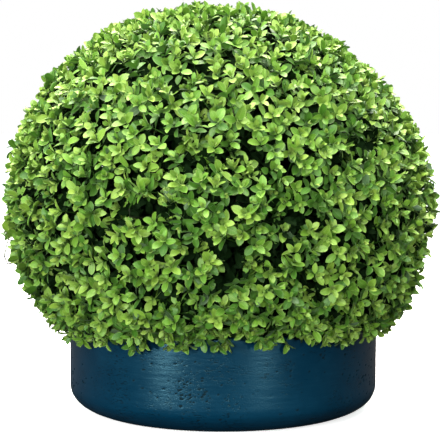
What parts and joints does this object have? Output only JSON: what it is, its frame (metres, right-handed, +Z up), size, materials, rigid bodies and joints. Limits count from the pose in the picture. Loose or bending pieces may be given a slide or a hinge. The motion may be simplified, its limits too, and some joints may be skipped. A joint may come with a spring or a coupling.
{
  "type": "artificial box topiary ball in a low round pot",
  "caption": "Clipped ball of small oval green leaves, slightly flattened, overhanging a low round dark blue pot with a rounded lower edge.",
  "frame": {"origin": "middle of the pot's flat underside, on the surface that it stands on", "axes": "+Z up through the stem, -Y towards the front, +X to the right seen from the front"},
  "size_m": [0.4866, 0.487, 0.4578],
  "materials": {
    "fibre_clay": "satin, dark blue, pitted",
    "filling": "matt, dark gravel",
    "bark": "matt, brown, moulded bark",
    "leaf": "satin, fresh green, lighter rims"
  },
  "bodies": {
    "root": {"pot": "fibre_clay", "pot_filling": "filling", "stem": "bark", "bough_1": "bark", "bough_2": "bark", "bough_3": "bark", "bough_4": "bark", "bough_5": "bark", "bough_6": "bark", "bough_7": "bark", "bough_8": "bark", "bough_9": "bark", "bough_10": "bark", "bough_11": "bark", "bough_12": "bark", "foliage_ball": "leaf"}
  },
  "joints": []
}
